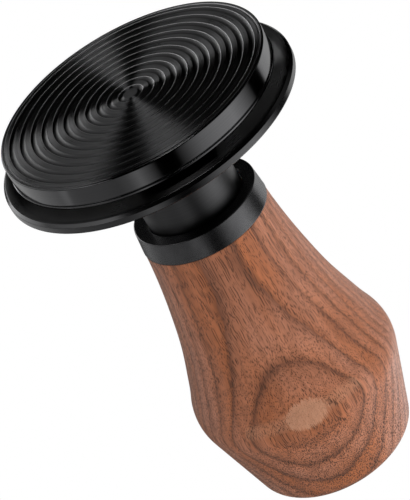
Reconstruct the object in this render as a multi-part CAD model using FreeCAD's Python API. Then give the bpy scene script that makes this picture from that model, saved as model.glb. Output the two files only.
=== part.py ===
import FreeCAD, Part
import math
import os

# A spring-loaded, self-levelling espresso tamper for a 58 mm portafilter basket.
#
# Frame: millimetres, +Z up, origin at the centre of the ripple face that the tamper stands on.
# The turned pieces are described by half of their section, as (radius, height) corners.
#
# How it works: the shaft is screwed into the base and carries a spool between two springs. The
# lower spring holds the levelling flange down on the base, and lets it rise as the base sinks into
# the basket. The upper spring holds the handle up against a stop washer, and gives way once the
# set tamping force is reached. The neck of the flange telescopes into the handle.

# Base
BASE_RADIUS = 29.2
BASE_TOP = 5.0
BASE_EDGE = 0.35            # rounding of the face's rim
RIPPLE_OUTERMOST = 26.7     # centre-line radius of the widest ripple groove
RIPPLE_PITCH = 2.45
RIPPLE_COUNT = 11
RIPPLE_WIDTH = 1.2
RIPPLE_DEPTH = 0.28
RIM_GROOVE_RADIUS = 28.42
RIM_GROOVE_WIDTH = 0.34
RIM_GROOVE_DEPTH = 0.2
SIDE_GROOVE_Z = 4.25
SIDE_GROOVE_WIDTH = 0.3
SIDE_GROOVE_DEPTH = 0.25
BEAD_PROUD = 0.15           # the lip above the side groove stands out this far
BEAD_EDGE = 0.45            # rounding of that lip's top edge
BOSS_RADIUS = 8.0
BOSS_TOP = 8.4
THREAD_RADIUS = 3.0         # M6 end of the shaft
THREAD_BOTTOM = 2.2

# Shaft and its fittings
SHAFT_RADIUS = 4.0
SHAFT_TOP = 72.3
SHAFT_CHAMFER = 0.4
RUNNING_GAP = 0.05          # radial, between a bush and what turns or slides in it
FIT_GAP = 0.05              # radial, between pieces that are pressed or glued together
LOOSE_GAP = 0.2             # radial, round a washer
STOP_GAP = 0.1              # between two pieces that meet only at a stop
RING_Z = 24.35
RING_THICKNESS = 1.0
RING_GROOVE_RADIUS = 3.4
RING_RADIUS = 5.4
RING_OPENING = 3.2
SPOOL_TUBE_RADIUS = 5.4
SPOOL_FLANGE_RADIUS = 8.6
SPOOL_FLANGE_Z = 40.0
SPOOL_FLANGE_THICKNESS = 3.0
SPOOL_BOTTOM = RING_Z + RING_THICKNESS
WASHER_THICKNESS = 0.8
BUMPER_RADIUS = 7.8
SCREW_RADIUS = 2.0          # M4
SCREW_LENGTH = 8.0
SCREW_HEAD_RADIUS = 3.8
SCREW_HEAD_HEIGHT = 2.2
SCREW_CROWN_RADIUS = 2.09
SCREW_SHOULDER = (3.344, 1.364)     # radius and height of the head's rounding half way
TAPPED_CLEARANCE = 2.0      # hole below the screw's end
HEX_ACROSS_FLATS = 2.5
HEX_DEPTH = 1.3
STOP_WASHER_RADIUS = 8.5
STOP_WASHER_THICKNESS = 1.2

# Levelling flange and neck
LEVELLER_TRAVEL = 10.0
FLANGE_RADIUS = 32.3
FLANGE_FRONT = 6.6
FLANGE_BACK = 8.7
FLANGE_BEVEL = 0.6
FLANGE_ROUND = 0.4
SEAT_INNER_RADIUS = 29.5    # the ring of the flange's front that lands on the basket's rim
SEAT_PROUD = 0.1
HUB_RECESS_RADIUS = 8.6
FLOOR_BOTTOM = 9.4
FLOOR_TOP = 12.4
NECK_RADIUS = 10.6
NECK_BORE = 9.0
NECK_TOP = 36.0
NECK_CHAMFER = 0.4
NECK_FILLET = 0.5
BUSH_WALL = 1.55
BUSH_FLANGE = 1.0
BUSH_FLANGE_RADIUS = 8.4

# Handle
HANDLE_TRAVEL = 8.0
FERRULE_TOP_RADIUS = 13.7
FERRULE_BOTTOM_RADIUS = 14.2
FERRULE_FRONT = 28.4
FERRULE_BACK = 33.5
FERRULE_LIP = 1.0
FERRULE_BEVEL = 0.25
LINER_RADIUS = 12.2
LINER_BORE = 10.95          # clears the neck
LINER_GUIDE_BORE = 11.4
LINER_SPRING_BORE = 9.4
GUIDE_LENGTH = 6.0
LINER_STEP = 56.0
BULKHEAD_BOTTOM = 68.0
BULKHEAD_TOP = 71.0
WOOD_FACE_RADIUS = 14.05
FLARE = [(14.9, 42.0), (16.2, 50.3), (17.9, 58.6), (20.3, 66.7)]
FLARE_SLOPE_START = 0.06
FLARE_SLOPE_END = 0.43
RIDGE_CORNER = (23.61, 75.44)
RIDGE_ROUND = 11.0
CONE_SLOPE = -0.276
POMMEL_EDGE_Z = 98.6
POMMEL_ROUND = 4.0
POMMEL_CROWN = 0.9
CAVITY_RADIUS = 9.2
CAVITY_TOP = 86.5

# Springs: mean coil radius, wire diameter and turns
LEVELLER_SPRING = (7.0, 1.0, 7.0)
MAIN_SPRING = (7.2, 1.8, 6.0)

AXIS = FreeCAD.Vector(0, 0, 1)
ORIGIN = FreeCAD.Vector(0, 0, 0)


def point(corner):
    radius, height = corner
    return FreeCAD.Vector(radius, 0, height)


def arc(start, through, end):
    return Part.Arc(point(start), point(through), point(end)).toShape()


def line(start, end):
    return Part.LineSegment(point(start), point(end)).toShape()


def turned(edges):
    """The solid made by turning a closed half section about Z."""
    face = Part.Face(Part.Wire(edges))
    return face.revolve(ORIGIN, AXIS, 360)


def lathe(outline):
    """Turned solid. A corner (radius, height) ends a straight edge. A corner of four numbers ends an
    arc: the first two are the point that the arc passes through, the last two its end."""
    edges = []
    start = outline[-1][-2:]
    for corner in outline:
        end = corner[-2:]
        if len(corner) == 4:
            edges.append(arc(start, corner[:2], end))
        else:
            edges.append(line(start, end))
        start = end
    return turned(edges)


def ring(inner, outer, bottom, top):
    return lathe([(inner, bottom), (outer, bottom), (outer, top), (inner, top)])


def quarter(centre, radius, side, rise):
    """The middle point of a quarter round about centre, on the given side and height."""
    reach = radius * math.sqrt(0.5)
    return (centre[0] + side * reach, centre[1] + rise * reach)


def groove(radius, width, depth):
    """A round-bottomed ripple cut up into the face at height 0."""
    return [(radius - width / 2, 0), (radius, depth, radius + width / 2, 0)]


def ripple_base():
    outline = [(0, 0)]
    for step in reversed(range(RIPPLE_COUNT)):
        radius = RIPPLE_OUTERMOST - step * RIPPLE_PITCH
        outline += groove(radius, RIPPLE_WIDTH, RIPPLE_DEPTH)
    outline += groove(RIM_GROOVE_RADIUS, RIM_GROOVE_WIDTH, RIM_GROOVE_DEPTH)
    edge_centre = (BASE_RADIUS - BASE_EDGE, BASE_EDGE)
    groove_top = SIDE_GROOVE_Z + SIDE_GROOVE_WIDTH / 2
    bead_radius = BASE_RADIUS + BEAD_PROUD
    bead_centre = (bead_radius - BEAD_EDGE, BASE_TOP - BEAD_EDGE)
    outline += [
        (edge_centre[0], 0),
        quarter(edge_centre, BASE_EDGE, 1, -1) + (BASE_RADIUS, BASE_EDGE),
        (BASE_RADIUS, SIDE_GROOVE_Z - SIDE_GROOVE_WIDTH / 2),
        (BASE_RADIUS - SIDE_GROOVE_DEPTH, SIDE_GROOVE_Z, BASE_RADIUS, groove_top),
        (bead_radius, groove_top),
        (bead_radius, bead_centre[1]),
        quarter(bead_centre, BEAD_EDGE, 1, 1) + (bead_centre[0], BASE_TOP),
        (BOSS_RADIUS, BASE_TOP),
        (BOSS_RADIUS, BOSS_TOP),
        (THREAD_RADIUS + FIT_GAP, BOSS_TOP),
        (THREAD_RADIUS + FIT_GAP, THREAD_BOTTOM),
        (0, THREAD_BOTTOM),
    ]
    return lathe(outline)


def centre_shaft():
    groove_top = RING_Z + RING_THICKNESS
    shaft = lathe([
        (0, THREAD_BOTTOM + SHAFT_CHAMFER),
        (THREAD_RADIUS - SHAFT_CHAMFER, THREAD_BOTTOM + SHAFT_CHAMFER),
        (THREAD_RADIUS, THREAD_BOTTOM + 2 * SHAFT_CHAMFER),
        (THREAD_RADIUS, BOSS_TOP),
        (SHAFT_RADIUS, BOSS_TOP),
        (SHAFT_RADIUS, RING_Z),
        (RING_GROOVE_RADIUS, RING_Z),
        (RING_GROOVE_RADIUS, groove_top),
        (SHAFT_RADIUS, groove_top),
        (SHAFT_RADIUS, SHAFT_TOP - SHAFT_CHAMFER),
        (SHAFT_RADIUS - SHAFT_CHAMFER, SHAFT_TOP),
        (0, SHAFT_TOP),
    ])
    tapped_depth = SCREW_LENGTH + TAPPED_CLEARANCE
    tapped_hole = Part.makeCylinder(
        SCREW_RADIUS + FIT_GAP, tapped_depth, FreeCAD.Vector(0, 0, SHAFT_TOP - tapped_depth)
    )
    return shaft.cut(tapped_hole)


def base_bumper():
    """Rubber ring on the boss, which the levelling flange comes down on."""
    return ring(SHAFT_RADIUS + LOOSE_GAP, BUMPER_RADIUS, BOSS_TOP, FLOOR_BOTTOM - STOP_GAP)


def retaining_ring():
    """Open ring in the shaft's groove, which the spool stands on."""
    circlip = ring(RING_GROOVE_RADIUS + FIT_GAP, RING_RADIUS, RING_Z, SPOOL_BOTTOM - FIT_GAP)
    corner = FreeCAD.Vector(0, -RING_OPENING / 2, RING_Z - RING_THICKNESS / 2)
    opening = Part.makeBox(RING_RADIUS, RING_OPENING, 2 * RING_THICKNESS, corner)
    return circlip.cut(opening)


def spring_spool():
    """Collar between the springs. Its two tube ends stop the flange's and the handle's travel."""
    seat_at_limit = spring_seat_top() + LEVELLER_TRAVEL
    assert seat_at_limit < RING_Z
    bore = SHAFT_RADIUS + FIT_GAP
    flange_top = SPOOL_FLANGE_Z + SPOOL_FLANGE_THICKNESS
    spool_top = handle_seat_bottom() - HANDLE_TRAVEL - STOP_GAP
    return lathe([
        (bore, SPOOL_BOTTOM),
        (SPOOL_TUBE_RADIUS, SPOOL_BOTTOM),
        (SPOOL_TUBE_RADIUS, SPOOL_FLANGE_Z),
        (SPOOL_FLANGE_RADIUS, SPOOL_FLANGE_Z),
        (SPOOL_FLANGE_RADIUS, flange_top),
        (SPOOL_TUBE_RADIUS, flange_top),
        (SPOOL_TUBE_RADIUS, spool_top),
        (bore, spool_top),
    ])


def coil_spring(form, bottom, top):
    """Coil of even pitch that touches the levels bottom and top with its end turns."""
    mean_radius, wire, turns = form
    height = top - bottom - wire
    start = bottom + wire / 2
    helix = Part.makeHelix(height / turns, height, mean_radius)
    helix.translate(FreeCAD.Vector(0, 0, start))
    section = Part.Circle(FreeCAD.Vector(mean_radius, 0, start), FreeCAD.Vector(0, 1, 0), wire / 2)
    return Part.Wire(helix.Edges).makePipeShell([Part.Wire([section.toShape()])], True, True)


def spring_seat_bottom():
    return FLOOR_TOP + BUSH_FLANGE + RUNNING_GAP


def spring_seat_top():
    return spring_seat_bottom() + WASHER_THICKNESS


def handle_seat_bottom():
    return BULKHEAD_BOTTOM - BUSH_FLANGE - RUNNING_GAP - WASHER_THICKNESS


def leveller_spring():
    return coil_spring(LEVELLER_SPRING, spring_seat_top(), SPOOL_FLANGE_Z)


def main_spring():
    return coil_spring(MAIN_SPRING, main_spring_bottom(), handle_seat_bottom())


def main_spring_bottom():
    return SPOOL_FLANGE_Z + SPOOL_FLANGE_THICKNESS + WASHER_THICKNESS


def main_spring_seat():
    bottom = main_spring_bottom() - WASHER_THICKNESS
    return ring(SPOOL_TUBE_RADIUS + LOOSE_GAP, SPOOL_FLANGE_RADIUS, bottom, main_spring_bottom())


def leveller_spring_seat():
    return ring(SHAFT_RADIUS + LOOSE_GAP, BUSH_FLANGE_RADIUS, spring_seat_bottom(), spring_seat_top())


def handle_spring_seat():
    bottom = handle_seat_bottom()
    return ring(SHAFT_RADIUS + LOOSE_GAP, SPOOL_FLANGE_RADIUS, bottom, bottom + WASHER_THICKNESS)


def stop_bumper():
    """Rubber ring under the stop washer, which the handle's bulkhead rises against."""
    return ring(SHAFT_RADIUS + LOOSE_GAP, BUMPER_RADIUS, BULKHEAD_TOP + STOP_GAP, SHAFT_TOP)


def stop_washer():
    top = SHAFT_TOP + STOP_WASHER_THICKNESS
    return ring(SCREW_RADIUS + LOOSE_GAP, STOP_WASHER_RADIUS, SHAFT_TOP, top)


def hexagon_prism(across_flats, bottom, height):
    sides = 6
    radius = across_flats / math.sqrt(3)
    corners = []
    for side in range(sides):
        angle = 2 * math.pi * side / sides
        corners.append(FreeCAD.Vector(radius * math.cos(angle), radius * math.sin(angle), bottom))
    outline = Part.makePolygon(corners + corners[:1])
    return Part.Face(outline).extrude(AXIS * height)


def retaining_screw():
    """Button-head screw that holds the stop washer to the shaft's top end."""
    seat = SHAFT_TOP + STOP_WASHER_THICKNESS
    top = seat + SCREW_HEAD_HEIGHT
    shoulder_radius, shoulder_height = SCREW_SHOULDER
    screw = lathe([
        (0, SHAFT_TOP - SCREW_LENGTH),
        (SCREW_RADIUS - SHAFT_CHAMFER, SHAFT_TOP - SCREW_LENGTH),
        (SCREW_RADIUS, SHAFT_TOP - SCREW_LENGTH + SHAFT_CHAMFER),
        (SCREW_RADIUS, seat),
        (SCREW_HEAD_RADIUS, seat),
        (shoulder_radius, seat + shoulder_height, SCREW_CROWN_RADIUS, top),
        (0, top),
    ])
    return screw.cut(hexagon_prism(HEX_ACROSS_FLATS, top - HEX_DEPTH, 2 * HEX_DEPTH))


def levelling_sleeve():
    """Flange that rests on the basket's rim, in one piece with the neck."""
    recess_top = FLANGE_FRONT + SEAT_PROUD
    bevel_radius = FLANGE_RADIUS - FLANGE_BEVEL
    back_round = (FLANGE_RADIUS - FLANGE_ROUND, FLANGE_BACK - FLANGE_ROUND)
    neck_round = (NECK_RADIUS + NECK_FILLET, FLANGE_BACK + NECK_FILLET)
    bush_hole = SHAFT_RADIUS + RUNNING_GAP + BUSH_WALL + FIT_GAP
    return lathe([
        (bush_hole, FLOOR_BOTTOM),
        (HUB_RECESS_RADIUS, FLOOR_BOTTOM),
        (HUB_RECESS_RADIUS, recess_top),
        (SEAT_INNER_RADIUS, recess_top),
        (SEAT_INNER_RADIUS, FLANGE_FRONT),
        (bevel_radius, FLANGE_FRONT),
        (FLANGE_RADIUS, FLANGE_FRONT + FLANGE_BEVEL),
        (FLANGE_RADIUS, back_round[1]),
        quarter(back_round, FLANGE_ROUND, 1, 1) + (back_round[0], FLANGE_BACK),
        (neck_round[0], FLANGE_BACK),
        quarter(neck_round, NECK_FILLET, -1, -1) + (NECK_RADIUS, neck_round[1]),
        (NECK_RADIUS, NECK_TOP - NECK_CHAMFER),
        (NECK_RADIUS - NECK_CHAMFER, NECK_TOP),
        (NECK_BORE, NECK_TOP),
        (NECK_BORE, FLOOR_TOP),
        (bush_hole, FLOOR_TOP),
    ])


def leveller_bush():
    """Flanged plain bush in the neck's floor, running on the shaft."""
    bore = SHAFT_RADIUS + RUNNING_GAP
    return lathe([
        (bore, FLOOR_BOTTOM),
        (bore + BUSH_WALL, FLOOR_BOTTOM),
        (bore + BUSH_WALL, FLOOR_TOP),
        (BUSH_FLANGE_RADIUS, FLOOR_TOP),
        (BUSH_FLANGE_RADIUS, FLOOR_TOP + BUSH_FLANGE),
        (bore, FLOOR_TOP + BUSH_FLANGE),
    ])


def handle_bush():
    """Flanged plain bush in the liner's bulkhead, running on the shaft."""
    bore = SHAFT_RADIUS + RUNNING_GAP
    return lathe([
        (bore, BULKHEAD_BOTTOM - BUSH_FLANGE),
        (BUSH_FLANGE_RADIUS, BULKHEAD_BOTTOM - BUSH_FLANGE),
        (BUSH_FLANGE_RADIUS, BULKHEAD_BOTTOM),
        (bore + BUSH_WALL, BULKHEAD_BOTTOM),
        (bore + BUSH_WALL, BULKHEAD_TOP),
        (bore, BULKHEAD_TOP),
    ])


def handle_liner():
    """Metal tube glued into the wood, with the bulkhead that the main spring lifts."""
    bottom = FERRULE_FRONT + FERRULE_LIP
    bush_hole = SHAFT_RADIUS + RUNNING_GAP + BUSH_WALL + FIT_GAP
    return lathe([
        (LINER_GUIDE_BORE, bottom),
        (LINER_RADIUS, bottom),
        (LINER_RADIUS, BULKHEAD_TOP),
        (bush_hole, BULKHEAD_TOP),
        (bush_hole, BULKHEAD_BOTTOM),
        (LINER_SPRING_BORE, BULKHEAD_BOTTOM),
        (LINER_SPRING_BORE, LINER_STEP),
        (LINER_BORE, LINER_STEP),
        (LINER_BORE, bottom + GUIDE_LENGTH),
        (LINER_GUIDE_BORE, bottom + GUIDE_LENGTH),
    ])


def neck_guide_bush():
    """Plain bush that the neck slides and turns in, held in by the ferrule's lip."""
    bottom = FERRULE_FRONT + FERRULE_LIP
    return ring(NECK_RADIUS + RUNNING_GAP, LINER_GUIDE_BORE - FIT_GAP, bottom, bottom + GUIDE_LENGTH)


def ferrule():
    """Metal collar screwed on the liner's end, which clamps the wood."""
    lip_top = FERRULE_FRONT + FERRULE_LIP
    return lathe([
        (LINER_BORE, FERRULE_FRONT),
        (FERRULE_TOP_RADIUS - FERRULE_BEVEL, FERRULE_FRONT),
        (FERRULE_TOP_RADIUS, FERRULE_FRONT + FERRULE_BEVEL),
        (FERRULE_BOTTOM_RADIUS, FERRULE_BACK),
        (LINER_RADIUS + FIT_GAP, FERRULE_BACK),
        (LINER_RADIUS + FIT_GAP, lip_top),
        (LINER_BORE, lip_top),
    ])


def flare_curve(end):
    """Concave flare of the handle, from the ferrule up to the start of the rounded ridge."""
    places = [(WOOD_FACE_RADIUS, FERRULE_BACK)] + FLARE + [end]
    curve = Part.BSplineCurve()
    curve.interpolate(
        Points=[point(place) for place in places],
        InitialTangent=FreeCAD.Vector(FLARE_SLOPE_START, 0, 1),
        FinalTangent=FreeCAD.Vector(FLARE_SLOPE_END, 0, 1),
        Scale=True,
    )
    return curve.toShape()


def wooden_handle():
    flare_angle = math.atan(FLARE_SLOPE_END)
    cone_angle = math.atan(CONE_SLOPE)
    turn = flare_angle - cone_angle
    reach = RIDGE_ROUND * math.tan(turn / 2)
    ridge_start = (
        RIDGE_CORNER[0] - reach * math.sin(flare_angle),
        RIDGE_CORNER[1] - reach * math.cos(flare_angle),
    )
    ridge_end = (
        RIDGE_CORNER[0] + reach * math.sin(cone_angle),
        RIDGE_CORNER[1] + reach * math.cos(cone_angle),
    )
    ridge_centre = (
        ridge_start[0] - RIDGE_ROUND * math.cos(flare_angle),
        ridge_start[1] + RIDGE_ROUND * math.sin(flare_angle),
    )
    middle_angle = (flare_angle + cone_angle) / 2
    ridge_middle = (
        ridge_centre[0] + RIDGE_ROUND * math.cos(middle_angle),
        ridge_centre[1] - RIDGE_ROUND * math.sin(middle_angle),
    )
    # The pommel's rounding touches the cone and the level of the end face's edge.
    round_z = POMMEL_EDGE_Z - POMMEL_ROUND
    cone_radius = ridge_end[0] + CONE_SLOPE * (round_z - ridge_end[1])
    round_centre = (cone_radius - POMMEL_ROUND / math.cos(cone_angle), round_z)
    cone_end = (
        round_centre[0] + POMMEL_ROUND * math.cos(cone_angle),
        round_centre[1] - POMMEL_ROUND * math.sin(cone_angle),
    )
    round_end = (round_centre[0], POMMEL_EDGE_Z)
    round_middle = quarter(round_centre, POMMEL_ROUND, 1, 1)
    crown = (0, POMMEL_EDGE_Z + POMMEL_CROWN)
    crown_ball = (round_end[0] ** 2 + POMMEL_CROWN**2) / (2 * POMMEL_CROWN)
    half_way = round_end[0] / 2
    crown_middle = (half_way, crown[1] - crown_ball + math.sqrt(crown_ball**2 - half_way**2))
    bore = LINER_RADIUS + FIT_GAP
    face = (WOOD_FACE_RADIUS, FERRULE_BACK)
    edges = [
        flare_curve(ridge_start),
        arc(ridge_start, ridge_middle, ridge_end),
        line(ridge_end, cone_end),
        arc(cone_end, round_middle, round_end),
        arc(round_end, crown_middle, crown),
        line(crown, (0, CAVITY_TOP)),
        line((0, CAVITY_TOP), (CAVITY_RADIUS, CAVITY_TOP)),
        line((CAVITY_RADIUS, CAVITY_TOP), (CAVITY_RADIUS, BULKHEAD_TOP)),
        line((CAVITY_RADIUS, BULKHEAD_TOP), (bore, BULKHEAD_TOP)),
        line((bore, BULKHEAD_TOP), (bore, FERRULE_BACK)),
        line((bore, FERRULE_BACK), face),
    ]
    return turned(edges)


PIECES = [
    ripple_base,
    centre_shaft,
    base_bumper,
    retaining_ring,
    spring_spool,
    leveller_spring,
    main_spring,
    main_spring_seat,
    stop_bumper,
    stop_washer,
    retaining_screw,
    leveller_spring_seat,
    levelling_sleeve,
    leveller_bush,
    handle_spring_seat,
    handle_bush,
    handle_liner,
    neck_guide_bush,
    ferrule,
    wooden_handle,
]

os.makedirs("parts", exist_ok=True)
for piece in PIECES:
    shape = piece()
    assert shape.isValid() and len(shape.Solids) == 1, piece.__name__
    shape.exportStep("parts/" + piece.__name__ + ".step")
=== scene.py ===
import math

import bpy
from mathutils import Matrix, Vector


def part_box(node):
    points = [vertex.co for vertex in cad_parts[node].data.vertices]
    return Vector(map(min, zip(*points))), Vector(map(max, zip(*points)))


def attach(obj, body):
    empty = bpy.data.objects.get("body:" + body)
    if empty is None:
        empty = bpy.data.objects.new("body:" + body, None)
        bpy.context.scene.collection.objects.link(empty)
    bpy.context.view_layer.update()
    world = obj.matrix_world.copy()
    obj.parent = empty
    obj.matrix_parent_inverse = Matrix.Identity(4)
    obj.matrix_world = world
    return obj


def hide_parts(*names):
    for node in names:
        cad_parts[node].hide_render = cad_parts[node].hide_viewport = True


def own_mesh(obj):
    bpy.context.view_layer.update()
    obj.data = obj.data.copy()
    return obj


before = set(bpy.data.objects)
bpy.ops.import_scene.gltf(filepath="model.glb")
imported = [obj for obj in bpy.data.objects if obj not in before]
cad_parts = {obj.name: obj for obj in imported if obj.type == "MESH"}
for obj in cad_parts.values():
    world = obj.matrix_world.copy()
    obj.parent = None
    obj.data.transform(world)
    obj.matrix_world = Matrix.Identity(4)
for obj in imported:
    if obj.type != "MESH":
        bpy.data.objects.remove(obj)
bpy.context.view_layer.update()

MM = 0.001

# ---------------------------------------------------------------- driving dimensions, in mm
# Base
BASE_RADIUS = 29.2
BASE_TOP = 5.0
BASE_EDGE = 0.35
RIPPLE_OUTERMOST = 26.7
RIPPLE_PITCH = 2.45
RIPPLE_COUNT = 11
RIPPLE_WIDTH = 1.2
RIPPLE_DEPTH = 0.28
RIPPLE_LIP = 0.14
RIPPLE_LIP_RISE = 0.07
RIM_GROOVE_RADIUS = 28.42
RIM_GROOVE_WIDTH = 0.34
RIM_GROOVE_DEPTH = 0.2
SIDE_GROOVE_Z = 4.25
SIDE_GROOVE_WIDTH = 0.3
SIDE_GROOVE_DEPTH = 0.25
BEAD_PROUD = 0.15
BEAD_ROUND = 0.25
BOSS_RADIUS = 8.0
BOSS_TOP = 8.4
BOSS_EDGE = 0.3
THREAD_RADIUS = 3.0
THREAD_BOTTOM = 2.2
FIT_GAP = 0.05

# Levelling flange and neck
FLANGE_RADIUS = 32.3
FLANGE_FRONT = 6.6
FLANGE_BACK = 8.7
FLANGE_BEVEL = 0.6
SEAT_INNER_RADIUS = 29.5
SEAT_PROUD = 0.1
HUB_RECESS_RADIUS = 8.6
FLOOR_BOTTOM = 9.4
FLOOR_TOP = 12.4
BUSH_HOLE = 5.65
NECK_RADIUS = 10.6
NECK_BORE = 9.0
NECK_TOP = 36.0
NECK_FILLET = 0.5
BEVEL_EDGE = 0.12       # rounding of the bevel's two edges
MOUTH_EDGE = 0.2        # of the recess in front and of the bore behind
SLEEVE_EDGE = 0.3       # of the other edges and corners

# Handle
FERRULE_FRONT = 28.4
FERRULE_BACK = 33.5
FERRULE_TOP_RADIUS = 13.7
FERRULE_BOTTOM_RADIUS = 14.2
FERRULE_LIP = 1.0
FERRULE_EDGE = 0.25
FERRULE_REAR_EDGE = 0.2
FERRULE_MOUTH_EDGE = 0.15
LINER_RADIUS = 12.2
LINER_BORE = 10.95
BULKHEAD_TOP = 71.0
WOOD_FACE_RADIUS = 14.05
FLARE = [(14.9, 42.0), (16.2, 50.3), (17.9, 58.6), (20.3, 66.7)]
FLARE_SLOPE_START = 0.06
FLARE_SLOPE_END = 0.43
RIDGE_CORNER = (23.61, 75.44)
RIDGE_ROUND = 11.0
CONE_SLOPE = -0.276
POMMEL_EDGE_Z = 98.6
POMMEL_ROUND = 4.0
POMMEL_CROWN = 0.9
CAVITY_RADIUS = 9.2
CAVITY_TOP = 86.5
WOOD_EDGE = 0.25
BORE_EDGE = 0.2
CAVITY_EDGE = 0.5

# Springs: mean radius, wire thickness, turns
LEVELLER_SPRING = (7.0, 1.0, 7.0)
MAIN_SPRING = (7.2, 1.8, 6.0)
CLOSED_TURNS = 1.0      # at each end
LEVELLER_TRAVEL = 10.0
PRESS_TRAVEL = 8.0

# Mesh
SEGMENTS = 288
SUPPORT = 0.07          # distance of the loops that keep a flat flat beside a rounded edge
ARC_STEP = math.radians(12)
SMALL_ARC = 0.2         # arcs up to this radius take the coarser step
SMALL_ARC_STEP = math.radians(26)
EDGE_SHARE = 0.42       # a rounding takes at most this share of an edge's length
MICRO = 0.08            # rounding of an edge that is only deburred
ON_AXIS = 1e-6
RIPPLE_STEPS = 8
BEAD_STEPS = 8
FLARE_STEPS = 8
RIDGE_STEPS = 12
POMMEL_STEPS = 14
CROWN_STEPS = 12
COIL_STEPS = 64         # in a turn
WIRE_SIDES = 16


# ---------------------------------------------------------------- turned meshes
def arc_points(centre, arm, turn, size):
    """Points on an arc that starts at centre + arm and turns by the given angle."""
    step = ARC_STEP if size > SMALL_ARC else SMALL_ARC_STEP
    count = max(2, math.ceil(abs(turn) / step))
    points = []
    for index in range(count + 1):
        angle = turn * index / count
        points.append(centre + Vector((
            arm.x * math.cos(angle) - arm.y * math.sin(angle),
            arm.x * math.sin(angle) + arm.y * math.cos(angle),
        )))
    return points


def rounded(corners, closed=True):
    """Outline through (radius, height, rounding) corners, with an arc at each rounded corner and
    a support point on each side of it."""
    outline = []
    count = len(corners)
    for index, (radius, height, rounding) in enumerate(corners):
        here = Vector((radius, height))
        at_end = not closed and index in (0, count - 1)
        if at_end or rounding == 0:
            outline.append(here)
            continue
        back = Vector(corners[index - 1][:2]) - here
        ahead = Vector(corners[(index + 1) % count][:2]) - here
        half = back.angle(ahead) / 2
        reach = min(rounding / math.tan(half), EDGE_SHARE * back.length, EDGE_SHARE * ahead.length)
        size = reach * math.tan(half)
        back_way = back.normalized()
        ahead_way = ahead.normalized()
        centre = here + (back_way + ahead_way).normalized() * (size / math.sin(half))
        arm = here + back_way * reach - centre
        far = here + ahead_way * reach - centre
        turn = math.copysign(math.pi - 2 * half, arm.x * far.y - arm.y * far.x)
        if back.length > 2 * reach + 2 * SUPPORT:
            outline.append(here + back_way * (reach + SUPPORT))
        outline += arc_points(centre, arm, turn, size)
        if ahead.length > 2 * reach + 2 * SUPPORT:
            outline.append(here + ahead_way * (reach + SUPPORT))
    return outline


def ring_of(verts, radius, height):
    """Adds a ring of vertices, or a single one on the axis, and returns their numbers."""
    start = len(verts)
    if radius < ON_AXIS:
        verts.append((0, 0, height * MM))
        return [start]
    for segment in range(SEGMENTS):
        angle = math.tau * segment / SEGMENTS
        verts.append((radius * math.cos(angle) * MM, radius * math.sin(angle) * MM, height * MM))
    return range(start, start + SEGMENTS)


def band(low, high):
    """Faces between two rings."""
    faces = []
    for segment in range(SEGMENTS):
        ahead = (segment + 1) % SEGMENTS
        if len(low) == 1:
            faces.append((low[0], high[segment], high[ahead]))
        elif len(high) == 1:
            faces.append((low[segment], high[0], low[ahead]))
        else:
            faces.append((low[segment], high[segment], high[ahead], low[ahead]))
    return faces


def new_piece(name, verts, faces):
    """A smooth-shaded closed mesh whose faces all point outwards."""
    mesh = bpy.data.meshes.new(name)
    mesh.from_pydata(verts, [], faces)
    mesh.update()
    volume = sum(face.center.dot(face.normal) * face.area for face in mesh.polygons)
    if volume < 0:
        mesh.flip_normals()
    mesh.shade_smooth()
    piece = bpy.data.objects.new(name, mesh)
    bpy.context.scene.collection.objects.link(piece)
    return piece


def lathe(name, outline, closed=True):
    """Mesh turned about Z from an outline of (radius, height) points in mm. An open outline starts
    and ends on the axis."""
    verts = []
    rings = [ring_of(verts, radius, height) for radius, height in outline]
    pairs = list(zip(rings, rings[1:]))
    if closed:
        pairs.append((rings[-1], rings[0]))
    faces = []
    for low, high in pairs:
        faces += band(low, high)
    return new_piece(name, verts, faces)


def circle_points(centre, radius, start, end, steps):
    """Points on a circle from one angle to another, both ends included."""
    points = []
    for step in range(steps + 1):
        angle = start + (end - start) * step / steps
        points.append(centre + radius * Vector((math.cos(angle), math.sin(angle))))
    return points


# ---------------------------------------------------------------- base, flange, ferrule
def ripple(radius, width, depth, lip):
    """Corners of a round-bottomed ripple cut up into the face at height 0."""
    ball = (width**2 / 4 + depth**2) / (2 * depth)
    reach = math.asin(width / 2 / ball)
    corners = [(radius - width / 2, 0, lip)]
    for step in range(1, RIPPLE_STEPS):
        angle = reach * (2 * step / RIPPLE_STEPS - 1)
        corners.append((radius + ball * math.sin(angle), depth - ball * (1 - math.cos(angle)), 0))
    corners.append((radius + width / 2, 0, lip))
    return corners


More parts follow.
